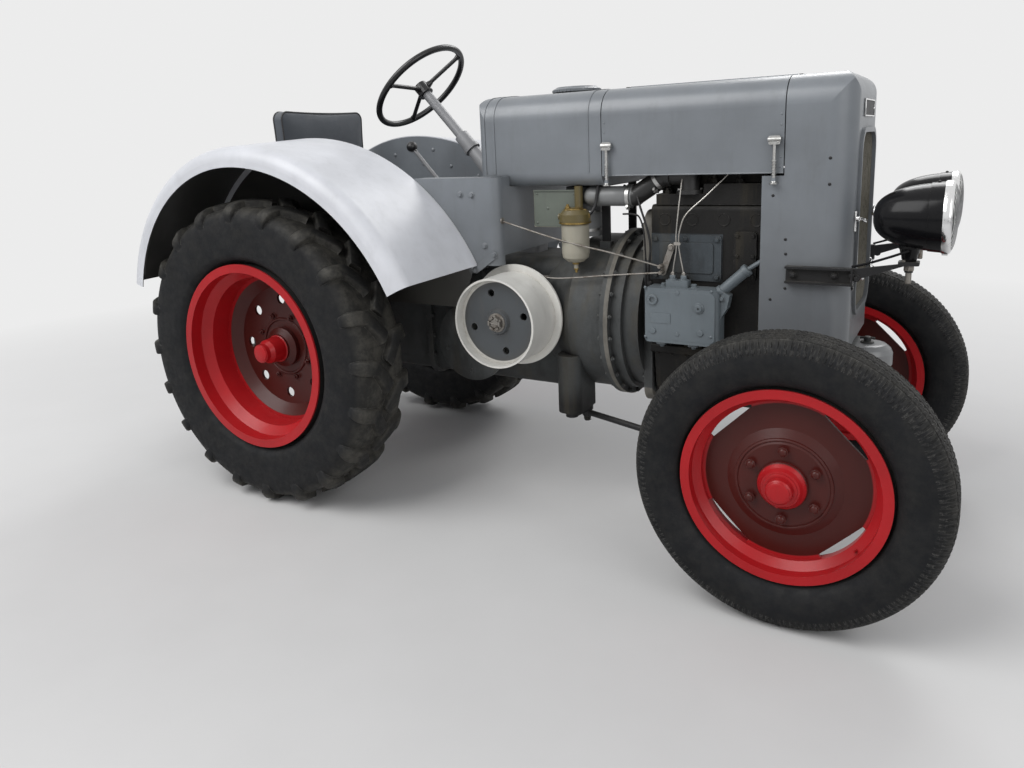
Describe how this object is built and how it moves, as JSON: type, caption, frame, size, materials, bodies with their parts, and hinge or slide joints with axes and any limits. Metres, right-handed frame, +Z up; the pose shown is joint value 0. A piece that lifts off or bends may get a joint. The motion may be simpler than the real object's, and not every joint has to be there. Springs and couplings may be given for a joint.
{
  "type": "vintage tractor",
  "caption": "Vintage farm tractor with a boxed hood over an open engine bay, arched rear fenders, steered front wheels, side belt pulley and rear drawbar.",
  "frame": {"origin": "on the ground under the middle of the overall length, on the centre plane", "axes": "+X forward along the tractor, +Y to its left, +Z up"},
  "size_m": [2.972, 1.47, 1.7143],
  "materials": {
    "hood_grey": "satin grey paint, worn",
    "fender_grey": "light grey paint, slightly glossy",
    "casting_grey": "grey painted casting, oily",
    "engine_dark": "dark oily casting",
    "black_paint": "worn black paint",
    "wheel_red": "red paint, semi gloss",
    "tyre_black": "worn rubber, dusty",
    "lamp_black": "gloss black with a chrome rim",
    "seat_cover": "dark grey worn artificial leather",
    "handwheel_black": "black, worn",
    "radiator_dark": "matt black",
    "bare_steel": "bare steel and brass, stained"
  },
  "bodies": {
    "chassis": {"gearbox_housing": "casting_grey", "rear_axle_housing": "casting_grey", "flywheel_housing": "casting_grey", "engine_block": "engine_dark", "cylinder_head": "engine_dark", "injection_pump": "casting_grey", "fuel_filter": "bare_steel", "intake_pipe": "hood_grey", "exhaust": "engine_dark", "axle_carrier": "casting_grey", "front_axle_beam": "casting_grey", "radiator_shell": "hood_grey", "grille": "radiator_dark", "radiator_core": "radiator_dark", "hood_ridge": "black_paint", "fuel_tank": "hood_grey", "tank_saddle": "black_paint", "footwell": "hood_grey", "fender_right": "fender_grey", "fender_left": "fender_grey", "seat_frame": "black_paint", "seat_cushion": "seat_cover", "seat_backrest": "seat_cover", "steering_column": "casting_grey", "driver_controls": "black_paint", "lamp_bracket": "black_paint", "headlamps": "lamp_black", "hitch": "black_paint"},
    "rear_wheel_right": {"rear_rim_right": "wheel_red", "rear_tyre_right": "tyre_black"},
    "rear_wheel_left": {"rear_rim_left": "wheel_red", "rear_tyre_left": "tyre_black"},
    "knuckle_right": {"knuckle_right": "casting_grey"},
    "knuckle_left": {"knuckle_left": "casting_grey"},
    "front_wheel_right": {"front_rim_right": "wheel_red", "front_tyre_right": "tyre_black"},
    "front_wheel_left": {"front_rim_left": "wheel_red", "front_tyre_left": "tyre_black"},
    "tie_rod": {"tie_rod": "black_paint"},
    "drop_arm": {"drop_arm": "black_paint"},
    "drag_link": {"drag_link": "black_paint"},
    "steering_wheel": {"steering_wheel": "handwheel_black"},
    "belt_pulley": {"belt_pulley": "fender_grey"},
    "hood_leaf_right": {"hood_leaf_right": "hood_grey"},
    "hood_leaf_left": {"hood_leaf_left": "hood_grey"}
  },
  "joints": [
    {"name": "rear_wheel_right_spin", "type": "hinge", "parent": "chassis", "child": "rear_wheel_right", "pos_m": [-0.846, -0.58, 0.587], "axis": [0, 1, 0], "continuous": true},
    {"name": "rear_wheel_left_spin", "type": "hinge", "parent": "chassis", "child": "rear_wheel_left", "pos_m": [-0.846, 0.58, 0.587], "axis": [0, 1, 0], "continuous": true},
    {"name": "steer_right", "type": "hinge", "parent": "chassis", "child": "knuckle_right", "pos_m": [1.074, -0.45, 0.412], "axis": [0, 0, 1], "range_deg": [-30, 30]},
    {"name": "steer_left", "type": "hinge", "parent": "chassis", "child": "knuckle_left", "pos_m": [1.074, 0.45, 0.412], "axis": [0, 0, 1], "range_deg": [-30, 30]},
    {"name": "front_wheel_right_spin", "type": "hinge", "parent": "knuckle_right", "child": "front_wheel_right", "pos_m": [1.074, -0.57, 0.412], "axis": [0, 1, 0], "continuous": true},
    {"name": "front_wheel_left_spin", "type": "hinge", "parent": "knuckle_left", "child": "front_wheel_left", "pos_m": [1.074, 0.57, 0.412], "axis": [0, 1, 0], "continuous": true},
    {"name": "tie_rod_swing", "type": "hinge", "parent": "knuckle_right", "child": "tie_rod", "pos_m": [0.954, -0.45, 0.391], "axis": [0, 0, 1], "range_deg": [-30, 30]},
    {"name": "drop_arm_swing", "type": "hinge", "parent": "chassis", "child": "drop_arm", "pos_m": [0.269, -0.235, 0.366], "axis": [0, 0, 1], "range_deg": [-30, 30]},
    {"name": "drag_link_swing", "type": "hinge", "parent": "drop_arm", "child": "drag_link", "pos_m": [0.284, -0.14, 0.353], "axis": [0, 0, 1], "range_deg": [-30, 30]},
    {"name": "steering_wheel_turn", "type": "hinge", "parent": "chassis", "child": "steering_wheel", "pos_m": [-0.486, 0, 1.566], "axis": [-0.6782, 0, 0.7349], "range_deg": [-450, 450]},
    {"name": "belt_pulley_spin", "type": "hinge", "parent": "chassis", "child": "belt_pulley", "pos_m": [0.082, -0.35, 0.735], "axis": [0, 1, 0], "continuous": true},
    {"name": "hood_leaf_right_open", "type": "hinge", "parent": "chassis", "child": "hood_leaf_right", "pos_m": [0.692, -0.02, 1.496], "axis": [-1, 0, 0], "range_deg": [0, 85]},
    {"name": "hood_leaf_left_open", "type": "hinge", "parent": "chassis", "child": "hood_leaf_left", "pos_m": [0.692, 0.02, 1.496], "axis": [1, 0, 0], "range_deg": [0, 85]}
  ],
  "couplings": [
    {"joint": "steer_left", "follows": "steer_right", "ratio": 1},
    {"joint": "tie_rod_swing", "follows": "steer_right", "ratio": -1},
    {"joint": "drop_arm_swing", "follows": "steer_right", "ratio": 1},
    {"joint": "drag_link_swing", "follows": "steer_right", "ratio": -1},
    {"joint": "steering_wheel_turn", "follows": "steer_right", "ratio": 15}
  ]
}
